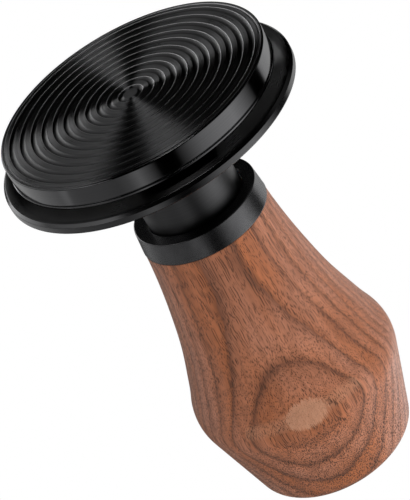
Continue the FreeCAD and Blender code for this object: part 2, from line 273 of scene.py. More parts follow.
def ripple_base():
    corners = [(0, 0, 0)]
    for step in reversed(range(RIPPLE_COUNT)):
        radius = RIPPLE_OUTERMOST - step * RIPPLE_PITCH
        corners += ripple(radius, RIPPLE_WIDTH, RIPPLE_DEPTH, RIPPLE_LIP)
    corners += ripple(RIM_GROOVE_RADIUS, RIM_GROOVE_WIDTH, RIM_GROOVE_DEPTH, MICRO)
    low = SIDE_GROOVE_Z - SIDE_GROOVE_WIDTH / 2
    high = SIDE_GROOVE_Z + SIDE_GROOVE_WIDTH / 2
    corners += [
        (BASE_RADIUS, 0, BASE_EDGE),
        (BASE_RADIUS, low, MICRO),
        (BASE_RADIUS - SIDE_GROOVE_DEPTH, SIDE_GROOVE_Z, MICRO),
        (BASE_RADIUS + BEAD_PROUD, high, MICRO),
    ]
    bead_centre = Vector((BASE_RADIUS + BEAD_PROUD - BEAD_ROUND, BASE_TOP - BEAD_ROUND))
    bead = circle_points(bead_centre, BEAD_ROUND, 0, math.pi / 2, BEAD_STEPS)
    corners += [(point.x, point.y, 0) for point in bead]
    corners += [
        (BOSS_RADIUS, BASE_TOP, BOSS_EDGE),
        (BOSS_RADIUS, BOSS_TOP, BOSS_EDGE),
        (THREAD_RADIUS + FIT_GAP, BOSS_TOP, BOSS_EDGE),
        (THREAD_RADIUS + FIT_GAP, THREAD_BOTTOM, MICRO),
        (0, THREAD_BOTTOM, 0),
    ]
    return lathe("ripple_base_turned", rounded(corners, closed=False), closed=False)


def levelling_sleeve():
    corners = [
        (BUSH_HOLE, FLOOR_BOTTOM, MICRO),
        (HUB_RECESS_RADIUS, FLOOR_BOTTOM, SLEEVE_EDGE),
        (HUB_RECESS_RADIUS, FLANGE_FRONT + SEAT_PROUD, MOUTH_EDGE),
        (SEAT_INNER_RADIUS, FLANGE_FRONT + SEAT_PROUD, 0),
        (SEAT_INNER_RADIUS, FLANGE_FRONT, 0),
        (FLANGE_RADIUS - FLANGE_BEVEL, FLANGE_FRONT, BEVEL_EDGE),
        (FLANGE_RADIUS, FLANGE_FRONT + FLANGE_BEVEL, BEVEL_EDGE),
        (FLANGE_RADIUS, FLANGE_BACK, SLEEVE_EDGE),
        (NECK_RADIUS, FLANGE_BACK, NECK_FILLET),
        (NECK_RADIUS, NECK_TOP, SLEEVE_EDGE),
        (NECK_BORE, NECK_TOP, MOUTH_EDGE),
        (NECK_BORE, FLOOR_TOP, SLEEVE_EDGE),
        (BUSH_HOLE, FLOOR_TOP, MICRO),
    ]
    return lathe("levelling_sleeve_turned", rounded(corners))


def ferrule():
    lip_top = FERRULE_FRONT + FERRULE_LIP
    corners = [
        (LINER_BORE, FERRULE_FRONT, FERRULE_MOUTH_EDGE),
        (FERRULE_TOP_RADIUS, FERRULE_FRONT, FERRULE_EDGE),
        (FERRULE_BOTTOM_RADIUS, FERRULE_BACK, FERRULE_REAR_EDGE),
        (LINER_RADIUS + FIT_GAP, FERRULE_BACK, MICRO),
        (LINER_RADIUS + FIT_GAP, lip_top, MICRO),
        (LINER_BORE, lip_top, MICRO),
    ]
    return lathe("ferrule_turned", rounded(corners))


# ---------------------------------------------------------------- wooden handle
def cubic(start, start_way, end, end_way, steps):
    """Points of a cubic between two places, leaving and arriving along the given ways."""
    span = (end - start).length / 3
    out = start + start_way.normalized() * span
    into = end - end_way.normalized() * span
    points = []
    for step in range(steps):
        t = step / steps
        u = 1 - t
        points.append(u**3 * start + 3 * u * u * t * out + 3 * u * t * t * into + t**3 * end)
    return points


def flare_points(end):
    """Smooth concave flare through the FLARE places, from the ferrule to the rounded ridge."""
    stations = [Vector((WOOD_FACE_RADIUS, FERRULE_BACK))]
    stations += [Vector(place) for place in FLARE]
    stations.append(end)
    ways = [Vector((FLARE_SLOPE_START, 1))]
    for before, after in zip(stations, stations[2:]):
        ways.append(after - before)
    ways.append(Vector((FLARE_SLOPE_END, 1)))
    points = []
    for index in range(len(stations) - 1):
        points += cubic(stations[index], ways[index], stations[index + 1], ways[index + 1], FLARE_STEPS)
    return points


def pommel_outline():
    """Outside of the handle from the ferrule face to the middle of the crown."""
    flare_angle = math.atan(FLARE_SLOPE_END)
    cone_angle = math.atan(CONE_SLOPE)
    reach = RIDGE_ROUND * math.tan((flare_angle - cone_angle) / 2)
    corner = Vector(RIDGE_CORNER)
    ridge_start = corner - reach * Vector((math.sin(flare_angle), math.cos(flare_angle)))
    ridge_end = corner + reach * Vector((math.sin(cone_angle), math.cos(cone_angle)))
    ridge_centre = ridge_start - RIDGE_ROUND * Vector((math.cos(flare_angle), -math.sin(flare_angle)))
    round_z = POMMEL_EDGE_Z - POMMEL_ROUND
    cone_radius = ridge_end.x + CONE_SLOPE * (round_z - ridge_end.y)
    round_centre = Vector((cone_radius - POMMEL_ROUND / math.cos(cone_angle), round_z))
    crown_ball = (round_centre.x**2 + POMMEL_CROWN**2) / (2 * POMMEL_CROWN)
    crown_centre = Vector((0, POMMEL_EDGE_Z + POMMEL_CROWN - crown_ball))
    crown_angle = math.acos(round_centre.x / crown_ball)
    outline = flare_points(ridge_start)
    outline += circle_points(ridge_centre, RIDGE_ROUND, -flare_angle, -cone_angle, RIDGE_STEPS)
    outline += circle_points(round_centre, POMMEL_ROUND, -cone_angle, math.pi / 2, POMMEL_STEPS)
    crown = circle_points(crown_centre, crown_ball, crown_angle, math.pi / 2, CROWN_STEPS)
    outline += crown[1:-1]
    return outline + [Vector((0, POMMEL_EDGE_Z + POMMEL_CROWN))]


def wooden_handle():
    bore = LINER_RADIUS + FIT_GAP
    outside = [(point.x, point.y, 0) for point in reversed(pommel_outline())]
    corners = outside[:-1] + [
        (WOOD_FACE_RADIUS, FERRULE_BACK, WOOD_EDGE),
        (bore, FERRULE_BACK, BORE_EDGE),
        (bore, BULKHEAD_TOP, BORE_EDGE),
        (CAVITY_RADIUS, BULKHEAD_TOP, BORE_EDGE),
        (CAVITY_RADIUS, CAVITY_TOP, CAVITY_EDGE),
        (0, CAVITY_TOP, 0),
    ]
    return lathe("wooden_handle_turned", rounded(corners, closed=False), closed=False)


# ---------------------------------------------------------------- springs
def wire_ring(mean_radius, wire, height, angle):
    """Vertices round the wire at one angle about the axis."""
    verts = []
    for side in range(WIRE_SIDES):
        around = math.tau * side / WIRE_SIDES
        radius = mean_radius + wire / 2 * math.cos(around)
        z = height + wire / 2 * math.sin(around)
        verts.append((radius * math.cos(angle) * MM, radius * math.sin(angle) * MM, z * MM))
    return verts


def coil(name, node, mean_radius, wire, turns):
    """Compression spring that fills its CAD node's height: closed flat end turns, open middle."""
    bottom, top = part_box(node)
    low = bottom.z / MM + wire / 2
    high = top.z / MM - wire / 2
    rise = high - low - 2 * CLOSED_TURNS * wire
    steps = int(turns * COIL_STEPS)
    verts = []
    for step in range(steps + 1):
        turn = step / COIL_STEPS
        open_part = (turn - CLOSED_TURNS) / (turns - 2 * CLOSED_TURNS)
        blend = min(max(open_part, 0), 1)
        climb = min(turn, CLOSED_TURNS) + max(0, turn - turns + CLOSED_TURNS)
        height = low + climb * wire + rise * blend
        verts += wire_ring(mean_radius, wire, height, math.tau * turn)
    faces = []
    for step in range(steps):
        start = step * WIRE_SIDES
        for side in range(WIRE_SIDES):
            ahead = (side + 1) % WIRE_SIDES
            far = start + WIRE_SIDES
            faces.append((start + side, start + ahead, far + ahead, far + side))
    faces.append(tuple(reversed(range(WIRE_SIDES))))
    faces.append(tuple(range(steps * WIRE_SIDES, (steps + 1) * WIRE_SIDES)))
    return new_piece(name, verts, faces)


# ---------------------------------------------------------------- material helpers
def shader(name, colour, metallic, roughness):
    """A material with one Principled shader."""
    material = bpy.data.materials.new(name)
    material.use_nodes = True
    surface = material.node_tree.nodes["Principled BSDF"]
    surface.inputs["Base Color"].default_value = (*colour, 1)
    surface.inputs["Metallic"].default_value = metallic
    surface.inputs["Roughness"].default_value = roughness
    return material, material.node_tree, surface


def node(tree, kind, inputs, **settings):
    """A node with its settings and inputs: an input is a number, a vector or another socket."""
    made = tree.nodes.new("ShaderNode" + kind)
    for setting, value in settings.items():
        setattr(made, setting, value)
    for socket, value in inputs.items():
        if isinstance(value, bpy.types.NodeSocket):
            tree.links.new(value, made.inputs[socket])
        else:
            made.inputs[socket].default_value = value
    return made


def maths(tree, operation, *values):
    return node(tree, "Math", dict(enumerate(values)), operation=operation).outputs[0]


def times(tree, first, second):
    return maths(tree, "MULTIPLY", first, second)


def plus(tree, first, second):
    return maths(tree, "ADD", first, second)


def squared(tree, value):
    return maths(tree, "POWER", maths(tree, "ABSOLUTE", value), 2)


def place_mm(tree, scale=(1, 1, 1)):
    """Object coordinates in mm, times a scale along each axis."""
    here = node(tree, "TexCoord", {}).outputs["Object"]
    size = [value / MM for value in scale]
    return node(tree, "VectorMath", {0: here, 1: size}, operation="MULTIPLY").outputs[0]


def axis_distance(tree):
    """Distance from the turning axis and height, in mm."""
    x, y, height = node(tree, "SeparateXYZ", {0: place_mm(tree)}).outputs
    return maths(tree, "SQRT", plus(tree, squared(tree, x), squared(tree, y))), height


def noise(tree, vector, scale, detail=2.0, roughness=0.5):
    inputs = {"Vector": vector, "Scale": scale, "Detail": detail, "Roughness": roughness}
    return node(tree, "TexNoise", inputs).outputs[0]


def line_noise(tree, along, scale, detail=2.0):
    inputs = {"W": along, "Scale": scale, "Detail": detail}
    return node(tree, "TexNoise", inputs, noise_dimensions="1D").outputs[0]


def remap(tree, value, low, high, to_low, to_high):
    inputs = {"Value": value, "From Min": low, "From Max": high, "To Min": to_low, "To Max": to_high}
    return node(tree, "MapRange", inputs).outputs[0]


def mix(tree, factor, first, second):
    """Mix of two colours. A colour is a triple or a socket."""
    made = tree.nodes.new("ShaderNodeMix")
    made.data_type = "RGBA"
    for socket, value in (("Factor_Float", factor), ("A_Color", first), ("B_Color", second)):
        target = next(s for s in made.inputs if s.identifier == socket)
        if isinstance(value, bpy.types.NodeSocket):
            tree.links.new(value, target)
        elif isinstance(value, (int, float)):
            target.default_value = value
        else:
            target.default_value = (*value, 1)
    return next(s for s in made.outputs if s.identifier == "Result_Color")


def bump(tree, surface, height, distance, strength=1.0):
    """Relief from a height field; the distance is in mm."""
    made = node(tree, "Bump", {"Height": height, "Distance": distance * MM, "Strength": strength})
    tree.links.new(made.outputs[0], surface.inputs["Normal"])


def colour_by(tree, surface, pattern, dark, light, low=0.35, high=0.65):
    """Base colour that goes from dark to light as the pattern goes from low to high."""
    shade = mix(tree, remap(tree, pattern, low, high, 0, 1), dark, light)
    tree.links.new(shade, surface.inputs["Base Color"])


def roughness_by(tree, surface, pattern, smooth, rough):
    """Roughness that follows the middle of a noise pattern's range."""
    tree.links.new(remap(tree, pattern, 0.3, 0.7, smooth, rough), surface.inputs["Roughness"])


# ---------------------------------------------------------------- materials
QUARTER_TURN = 0.25     # of the anisotropy, so that the light spreads across the turning marks
MARKS_ON_WALLS = 1.7    # how much finer the marks run on a wall than on a face
WEAR_SCALE = 0.12


def turned_metal(name, colour, roughness, marks=3.0, depth=0.002, anisotropy=0.6):
    """Metal off the lathe: fine rings on its faces and walls, a little wear in its roughness."""
    material, tree, surface = shader(name, colour, 1.0, roughness)
    surface.inputs["Anisotropic"].default_value = anisotropy
    surface.inputs["Anisotropic Rotation"].default_value = QUARTER_TURN
    tangent = node(tree, "Tangent", {}, direction_type="RADIAL", axis="Z")
    tree.links.new(tangent.outputs[0], surface.inputs["Tangent"])
    radius, height = axis_distance(tree)
    rings = line_noise(tree, plus(tree, radius, times(tree, height, MARKS_ON_WALLS)), marks, 4)
    smudge = noise(tree, place_mm(tree), WEAR_SCALE, 3)
    wear = plus(tree, times(tree, rings, 0.35), times(tree, smudge, 0.65))
    roughness_by(tree, surface, wear, roughness * 0.85, roughness * 1.15)
    dark = [channel * 0.82 for channel in colour]
    colour_by(tree, surface, rings, dark, colour)
    bump(tree, surface, rings, depth)
    return material


def turned_black(name, tone, roughness=0.3):
    """Black coating over a face turned with fine rings, which spread the light radially."""
    colour = (tone, tone, 1.02 * tone)
    return turned_metal(name, colour, roughness, marks=2.6, depth=0.003, anisotropy=1.0)


def lip_highlight_black():
    """The same coating on the outer edges of the ripples, painted near white: a painted highlight that
    draws thin bright lines along them.
    """
    colour = (0.78, 0.78, 0.79)
    return turned_metal("lip_highlight_black_steel", colour, 0.62, marks=3.0, depth=0.0003, anisotropy=0.0)


def spot_faced():
    """The same coating over the small middle of the face, which is duller."""
    colour = (0.2, 0.2, 0.205)
    return turned_metal("spot_faced_black_steel", colour, 0.5, marks=4.0, depth=0.002, anisotropy=0.0)


def gloss_black():
    """The same coating over the polished side of the base."""
    colour = (0.11, 0.11, 0.113)
    return turned_metal("gloss_black_steel", colour, 0.1, marks=3.0, depth=0.0004, anisotropy=0.3)


def black_alloy():
    """Anodised aluminium of the flange and neck: glossier on the flange than on the neck."""
    material, tree, surface = shader("black_anodised_alloy", (0.1, 0.1, 0.103), 1.0, 0.2)
    radius, height = axis_distance(tree)
    rings = line_noise(tree, plus(tree, height, radius), 4.0, 4)
    grain = noise(tree, place_mm(tree), 9.0, 3)
    by_radius = remap(tree, radius, 10.0, 16.0, 0.42, 0.2)
    rough = plus(tree, by_radius, remap(tree, grain, 0.3, 0.7, -0.02, 0.02))
    tree.links.new(rough, surface.inputs["Roughness"])
    colour_by(tree, surface, rings, (0.074, 0.074, 0.076), (0.086, 0.086, 0.088), 0.3, 0.7)
    bump(tree, surface, plus(tree, rings, times(tree, grain, 0.4)), 0.001)
    return material


def black_satin():
    """Finely blasted black anodising of the ferrule."""
    material, tree, surface = shader("black_satin_anodised", (0.1, 0.1, 0.103), 1.0, 0.26)
    grain = noise(tree, place_mm(tree), 7.0, 5, 0.7)
    patch = noise(tree, place_mm(tree), 0.5, 2)
    roughness_by(tree, surface, grain, 0.22, 0.33)
    tone = plus(tree, times(tree, grain, 0.7), times(tree, patch, 0.3))
    colour_by(tree, surface, tone, (0.08, 0.08, 0.083), (0.125, 0.125, 0.128))
    bump(tree, surface, grain, 0.02, 0.7)
    return material


def drawn_wire():
    """Spring wire, streaked by the drawing die."""
    material, tree, surface = shader("drawn_spring_wire", (0.5, 0.5, 0.52), 1.0, 0.3)
    streaks = noise(tree, place_mm(tree, (1, 1, 6)), 2.0, 4)
    roughness_by(tree, surface, streaks, 0.22, 0.4)
    colour_by(tree, surface, streaks, (0.4, 0.4, 0.42), (0.55, 0.55, 0.57))
    bump(tree, surface, streaks, 0.004)
    return material


def acetal():
    """Natural acetal of the bushes, with faint turning marks."""
    material, tree, surface = shader("natural_acetal", (0.82, 0.81, 0.77), 0.0, 0.42)
    surface.inputs["Subsurface Weight"].default_value = 0.15
    surface.inputs["Subsurface Scale"].default_value = 0.001
    radius, height = axis_distance(tree)
    rings = line_noise(tree, plus(tree, height, radius), 3.0, 3)
    mottle = noise(tree, place_mm(tree), 0.8, 3)
    roughness_by(tree, surface, mottle, 0.36, 0.48)
    colour_by(tree, surface, mottle, (0.79, 0.78, 0.73), (0.85, 0.84, 0.8))
    bump(tree, surface, rings, 0.004)
    return material


def rubber():
    """Moulded nitrile rubber of the bumpers, with a slight bloom."""
    material, tree, surface = shader("nitrile_rubber", (0.035, 0.035, 0.036), 0.0, 0.72)
    surface.inputs["Specular IOR Level"].default_value = 0.4
    grain = noise(tree, place_mm(tree), 5.0, 4)
    bloom = noise(tree, place_mm(tree), 0.5, 2)
    roughness_by(tree, surface, grain, 0.62, 0.8)
    colour_by(tree, surface, bloom, (0.028, 0.028, 0.029), (0.05, 0.049, 0.047))
    bump(tree, surface, grain, 0.012)
    return material


def black_oxide():
    """Black oxide of the retaining screw."""
    material, tree, surface = shader("black_oxide_screw", (0.06, 0.06, 0.062), 0.9, 0.4)
    grain = noise(tree, place_mm(tree), 4.0, 4)
    roughness_by(tree, surface, grain, 0.34, 0.48)
    colour_by(tree, surface, grain, (0.045, 0.045, 0.047), (0.08, 0.078, 0.075))
    bump(tree, surface, grain, 0.006)
    return material


# Walnut. Its growth layers are nearly flat sheets, and the handle's ridge cuts the outermost one.
LAYER_POINT = (2.44, -22.27, 72.75)     # where the ridge meets the outermost layer
LAYER_TURN = math.radians(8.0)          # the layers face -Y, turned this much towards +X
LAYER_TILT = math.radians(5.5)          # and tipped this much towards the base
LAYER_BEND = 150.0                      # bend radius of the layers, across the grain
FIRST_LINE = 2.97                       # depth of the first dark line below the outermost layer
LAYER_THICK = 2.43
LENS_WIDTH = 4.9                        # half width of the pale lens, across the grain
LENS_LENGTH = 3.1                       # and half length, along it
LENS_DEPTH = 4                          # depth of the layers that show the lens and the crest
PORE_SPACING = 0.22
WOOD_PINK = (0.61, 0.252, 0.145)
WOOD_ORANGE = (0.52, 0.165, 0.06)
WOOD_BROWN = (0.27, 0.095, 0.046)
WOOD_LINE = (0.085, 0.036, 0.022)
WOOD_LENS = (0.62, 0.31, 0.185)
WOOD_PORE = (0.06, 0.024, 0.013)


def layer_frame():
    """Unit vectors across the layers (outwards), along the grain, and beside both."""
    across = Vector((
        math.cos(LAYER_TILT) * math.sin(LAYER_TURN),
        -math.cos(LAYER_TILT) * math.cos(LAYER_TURN),
        -math.sin(LAYER_TILT),
    ))
    along = Vector((0, 0, 1))
    along = (along - across * along.dot(across)).normalized()
    return across, along, across.cross(along)


def dot(tree, vector, way):
    return node(tree, "VectorMath", {0: vector, 1: way}, operation="DOT_PRODUCT").outputs["Value"]


def combine(tree, x, y, z):
    return node(tree, "CombineXYZ", {0: x, 1: y, 2: z}).outputs[0]


def along_grain(tree, side, layer, grain, stretch):
    """Coordinates of a pattern that is stretched along the grain: 0 makes it endless."""
    return combine(tree, side, layer, times(tree, grain, stretch))


def growth_layers(tree, side, depth, grain):
    """Depth of a place in the bent and wandering layers, and how many layers down that is."""
    bend = maths(tree, "DIVIDE", squared(tree, side), -2 * LAYER_BEND)
    level = plus(tree, depth, bend)
    wander = along_grain(tree, side, level, grain, 0.45)
    slow = remap(tree, noise(tree, wander, 0.085, 1), 0.3, 0.7, -0.4, 0.4)
    quick = remap(tree, noise(tree, wander, 0.4, 1), 0.3, 0.7, -0.06, 0.06)
    wavy = plus(tree, level, plus(tree, slow, quick))
    first = maths(tree, "SUBTRACT", wavy, FIRST_LINE - LAYER_THICK)
    return wavy, maths(tree, "DIVIDE", first, LAYER_THICK)


def ground_colour(tree, ring, patches, streaks, fibres):
    """Each layer leans to orange or to a pinkish brown, and darkens towards its end."""
    phase = maths(tree, "FRACT", ring)
    layer_hue = line_noise(tree, maths(tree, "FLOOR", ring), 3.7, 0)
    hue = plus(tree, times(tree, layer_hue, 0.4), times(tree, patches, 0.6))
    ground = mix(tree, remap(tree, hue, 0.4, 0.6, 0, 1), WOOD_PINK, WOOD_ORANGE)
    early = remap(tree, phase, 0.0, 0.4, 0.6, 0)
    ground = mix(tree, early, ground, WOOD_ORANGE)
    late = times(tree, maths(tree, "POWER", phase, 2.5), 0.65)
    ground = mix(tree, late, ground, WOOD_BROWN)
    ground = mix(tree, remap(tree, streaks, 0.42, 0.7, 0, 0.6), ground, WOOD_BROWN)
    return mix(tree, remap(tree, fibres, 0.45, 0.75, 0, 0.3), ground, WOOD_BROWN)


def dark_lines(tree, ring, patches):
    """The dark line that ends each layer, strongest on the outer ones, and the distance to it."""
    nearest = maths(tree, "ROUND", ring)
    to_line = maths(tree, "ABSOLUTE", maths(tree, "SUBTRACT", ring, nearest))
    outermost = remap(tree, nearest, 1.5, 6, 0.75, 0.2)
    strength = times(tree, outermost, remap(tree, patches, 0.35, 0.6, 0.6, 1.1))
    strength = times(tree, strength, maths(tree, "GREATER_THAN", nearest, 0.5))
    return times(tree, remap(tree, to_line, 0.0, 0.16, 0.8, 0), strength), to_line


def pale_lens(tree, side, depth, grain, fibres):
    """A pale lens where the ridge only just cuts the outermost layer, and the paler crest."""
    across = squared(tree, maths(tree, "DIVIDE", side, LENS_WIDTH))
    along = squared(tree, maths(tree, "DIVIDE", grain, LENS_LENGTH))
    edge = plus(tree, plus(tree, across, along), remap(tree, fibres, 0.3, 0.7, -0.3, 0.3))
    outer = maths(tree, "LESS_THAN", depth, LENS_DEPTH)
    lens = times(tree, outer, remap(tree, edge, 0.7, 1.15, 1, 0))
    off_ridge = maths(tree, "ABSOLUTE", grain)
    crest = times(tree, outer, remap(tree, off_ridge, 0.7, 2.0, 0.4, 0))
    pale = times(tree, maths(tree, "MAXIMUM", lens, crest), remap(tree, fibres, 0.35, 0.7, 1, 0.6))
    return pale, lens


def pore_mask(tree, side, wavy, grain, to_line, lens):
    """Pores are long tubes along the grain, widest beside the dark lines and few in the lens."""
    inputs = {"Vector": along_grain(tree, side, wavy, grain, 0.6), "Scale": 0.35, "Detail": 1.0}
    drift = node(tree, "TexNoise", inputs).outputs["Color"]
    drift = node(tree, "SeparateXYZ", {0: drift})
    over = maths(tree, "DIVIDE", plus(tree, side, drift.outputs[0]), PORE_SPACING)
    down = maths(tree, "DIVIDE", plus(tree, wavy, drift.outputs[1]), PORE_SPACING)
    inputs = {"Vector": combine(tree, over, down, 0.0), "Scale": 1.0}
    cells = node(tree, "TexVoronoi", inputs, voronoi_dimensions="2D", feature="F1")
    chance = node(tree, "SeparateXYZ", {0: cells.outputs["Color"]}).outputs[0]
    by_line = remap(tree, to_line, 0.0, 0.45, 1.15, 0.85)
    wide = times(tree, by_line, remap(tree, chance, 0, 1, 0.14, 0.4))
    wide = times(tree, wide, remap(tree, lens, 0, 1, 1, 0.35))
    wide = times(tree, wide, remap(tree, grain, 2, 9, 1, 1.35))
    return remap(tree, cells.outputs["Distance"], times(tree, wide, 0.7), wide, 1, 0)


def walnut():
    """Oiled walnut: growth layers with dark lines, pores cut to dashes and dots, axial streaks."""
    material, tree, surface = shader("oiled_walnut", (0.42, 0.2, 0.12), 0.0, 0.42)
    surface.inputs["Specular IOR Level"].default_value = 0.28
    surface.inputs["Sheen Weight"].default_value = 0.12
    surface.inputs["Sheen Roughness"].default_value = 0.5
    from_lens = {0: place_mm(tree), 1: LAYER_POINT}
    place = node(tree, "VectorMath", from_lens, operation="SUBTRACT").outputs[0]
    across, along, beside = layer_frame()
    depth = times(tree, dot(tree, place, across), -1)
    grain = dot(tree, place, along)
    side = dot(tree, place, beside)

    wavy, ring = growth_layers(tree, side, depth, grain)
    streaks = noise(tree, along_grain(tree, side, wavy, grain, 0.03), 0.9, 4, 0.6)
    fibres = noise(tree, along_grain(tree, side, wavy, grain, 0.12), 4.0, 3, 0.6)
    patches = noise(tree, along_grain(tree, side, wavy, grain, 0.2), 0.13, 3)
    line, to_line = dark_lines(tree, ring, patches)
    pale, lens = pale_lens(tree, side, depth, grain, fibres)
    pores = pore_mask(tree, side, wavy, grain, to_line, lens)

    colour = ground_colour(tree, ring, patches, streaks, fibres)
    colour = mix(tree, line, colour, WOOD_LINE)
    colour = mix(tree, pale, colour, WOOD_LENS)
    colour = mix(tree, times(tree, pores, 0.92), colour, WOOD_PORE)
    tree.links.new(colour, surface.inputs["Base Color"])
    rough = plus(tree, remap(tree, fibres, 0.3, 0.7, 0.38, 0.5), times(tree, pores, 0.25))
    tree.links.new(rough, surface.inputs["Roughness"])
    relief = maths(tree, "SUBTRACT", times(tree, fibres, 0.25), pores)
    bump(tree, surface, relief, 0.04, 0.8)
    return material


# ---------------------------------------------------------------- build and dress the pieces
def dress(piece, material):
    """Gives a piece its only material."""
    piece.data.materials.clear()
    piece.data.materials.append(material)


def stand_in(piece, cad_node, body, material):
    """Puts a built piece in the place of a CAD node, on that node's body."""
    dress(piece, material)
    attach(piece, body)
    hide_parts(cad_node)


def repaint(names, material):
    """Gives CAD nodes that stay as they are a better material."""
    for name in names:
        cad_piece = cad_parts[name]
        if not cad_piece.data.materials:
            cad_piece.data.materials.append(material)
        for index in range(len(cad_piece.material_slots)):
            cad_piece.material_slots[index].material = material


def finish_faces(piece, finishes):
    """Gives each face the first finish whose test it passes, or leaves it in the piece's own. A
    test gets the radius, the height, and how far down the face looks (1 is straight down)."""
    for material, _ in finishes:
        piece.data.materials.append(material)
    for face in piece.data.polygons:
        radius = math.hypot(face.center.x, face.center.y) / MM
        height = face.center.z / MM
        for index, (_, test) in enumerate(finishes, start=1):
            if test(radius, height, -face.normal.z):
                face.material_index = index
                break


STRAIGHT_DOWN = 0.999


def on_land(height, down):
    """Whether a face is on one of the flat lands between the ripples."""
    return height < MICRO and down > STRAIGHT_DOWN


def on_front(height, down):
    """Whether a face is on the front of the flange."""
    return height < FLANGE_BACK and down > STRAIGHT_DOWN


def in_ripples(radius):
    return radius < RIM_GROOVE_RADIUS - RIM_GROOVE_WIDTH


def on_outer_lip(radius, height):
    """Whether a face is on the outer lip of a ripple, or on the outer flank of the rim's groove."""
    in_pitch = (radius - RIPPLE_OUTERMOST) % RIPPLE_PITCH
    lip = in_ripples(radius) and in_pitch < RIPPLE_PITCH / 2 and height < RIPPLE_LIP_RISE
    flank = 0 < radius - RIM_GROOVE_RADIUS < RIM_GROOVE_WIDTH / 2 and height < RIM_GROOVE_DEPTH
    return lip or flank


def dress_outside():
    # Lands and grooves take a lighter and a darker copy of one black coating, tone 0.25 and 0.1: a painted
    # sheen on the lands and painted shade in the grooves.
    turned = turned_black("turned_black_steel", 0.25)
    painted_shade_grooves = turned_black("ripple_painted_shade_black_steel", 0.1, 0.4)
    pip_radius = RIPPLE_OUTERMOST - (RIPPLE_COUNT - 1) * RIPPLE_PITCH - RIPPLE_WIDTH / 2
    base = ripple_base()
    stand_in(base, "ripple_base", "base", gloss_black())
    finish_faces(base, [
        (spot_faced(), lambda radius, height, down: height < RIPPLE_DEPTH and radius < pip_radius),
        (turned, lambda radius, height, down: on_land(height, down)),
        # outer lips and the rim groove's outer flank: painted highlight lines
        (lip_highlight_black(), lambda radius, height, down: on_outer_lip(radius, height)),
        (painted_shade_grooves, lambda radius, height, down: height < RIPPLE_DEPTH and in_ripples(radius)),
    ])
    sleeve = levelling_sleeve()
    stand_in(sleeve, "levelling_sleeve", "leveller", black_alloy())
    finish_faces(sleeve, [
        (turned_black("turned_black_alloy", 0.08), lambda radius, height, down: on_front(height, down)),
    ])
    stand_in(ferrule(), "ferrule", "handle", black_satin())
    stand_in(wooden_handle(), "wooden_handle", "handle", walnut())


def dress_springs():
    wire = drawn_wire()
    soft = coil("leveller_spring_coil", "leveller_spring", *LEVELLER_SPRING)
    stiff = coil("main_spring_coil", "main_spring", *MAIN_SPRING)
    stand_in(soft, "leveller_spring", "base", wire)
    stand_in(stiff, "main_spring", "base", wire)
    for spring, cad_node, joint, travel, fixed_top in (
        (soft, "leveller_spring", "leveller_slide", LEVELLER_TRAVEL, True),
        (stiff, "main_spring", "handle_press", PRESS_TRAVEL, False),
    ):
        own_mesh(spring)


def dress_inside():
    steel = turned_metal("turned_stainless", (0.6, 0.59, 0.58), 0.3)
    alloy = turned_metal("turned_alloy", (0.72, 0.72, 0.74), 0.38, marks=2.0)
    repaint(["centre_shaft", "spring_spool", "main_spring_seat", "stop_washer"], steel)
    repaint(["leveller_spring_seat", "handle_spring_seat"], steel)
    repaint(["retaining_ring"], drawn_wire())
    repaint(["handle_liner"], alloy)
    repaint(["retaining_screw"], black_oxide())
    repaint(["leveller_bush", "handle_bush", "neck_guide_bush"], acetal())
    repaint(["base_bumper", "stop_bumper"], rubber())


dress_outside()
dress_springs()
dress_inside()


# ---------------------------------------------------------------- studio
MIDDLE = Vector((0, 0, 0.045))
FACE = Vector((0, 0, 0))
UNDER_FACE = Vector((0, 0, -0.012))
LEFT_OF_FACE = Vector((-0.042, 0, 0))

FLOOR_SIDE = 3.0
FLOOR_CELLS = 8
FLOOR_Z = -0.0002

CAMERA_AIM = Vector((0.00313, 0, 0.03985))
CAMERA_DISTANCE = 0.61576
CAMERA_AZIMUTH = -90
CAMERA_ELEVATION = -30.492
CAMERA_ROLL = math.radians(149.325)
CAMERA_LENS = 216
CAMERA_SENSOR = 36
CAMERA_CLIP = 0.01


def direction(azimuth, elevation):
    """Unit vector towards an azimuth and elevation in degrees."""
    azimuth = math.radians(azimuth)
    elevation = math.radians(elevation)
    flat = math.cos(elevation)
    return Vector((flat * math.cos(azimuth), flat * math.sin(azimuth), math.sin(elevation)))


def soft_box(name, profile, elevation, height, distance=0.9, aim=MIDDLE, seen="both"):
    """A rectangular soft light that faces the object. Its profile is a list of (azimuth, radiance)
    from one side to the other. It lights matt surfaces, shows in shiny ones, or does both."""
    centre = (profile[0][0] + profile[-1][0]) / 2
    half = math.tan(math.radians((profile[-1][0] - profile[0][0]) / 2))
    peak = max(radiance for azimuth, radiance in profile)
    width = 2 * distance * half
    light = bpy.data.lights.new(name, "AREA")
    light.shape = "RECTANGLE"
    light.size = width
    light.size_y = height
    light.energy = peak * math.pi * width * height
    light.use_nodes = True
    tree = light.node_tree
    over = node(tree, "SeparateXYZ", {0: node(tree, "NewGeometry", {}).outputs["Parametric"]}).outputs[0]
    ramp = node(tree, "ValToRGB", {"Fac": over})
    stops = ramp.color_ramp.elements
    while len(stops) < len(profile):
        stops.new(0.5)
    for stop, (azimuth, radiance) in zip(stops, profile):
        stop.position = 0.5 + math.tan(math.radians(azimuth - centre)) / (2 * half)
        stop.color = (radiance / peak, radiance / peak, radiance / peak, 1)
    tree.links.new(ramp.outputs[0], tree.nodes["Emission"].inputs["Color"])
    lamp = bpy.data.objects.new(name, light)
    bpy.context.scene.collection.objects.link(lamp)
    lamp.location = aim + direction(centre, elevation) * distance
    lamp.rotation_euler = (lamp.location - aim).to_track_quat("Z", "Y").to_euler()
    lamp.visible_camera = False
    lamp.visible_glossy = seen != "matt"
    lamp.visible_diffuse = seen != "shine"


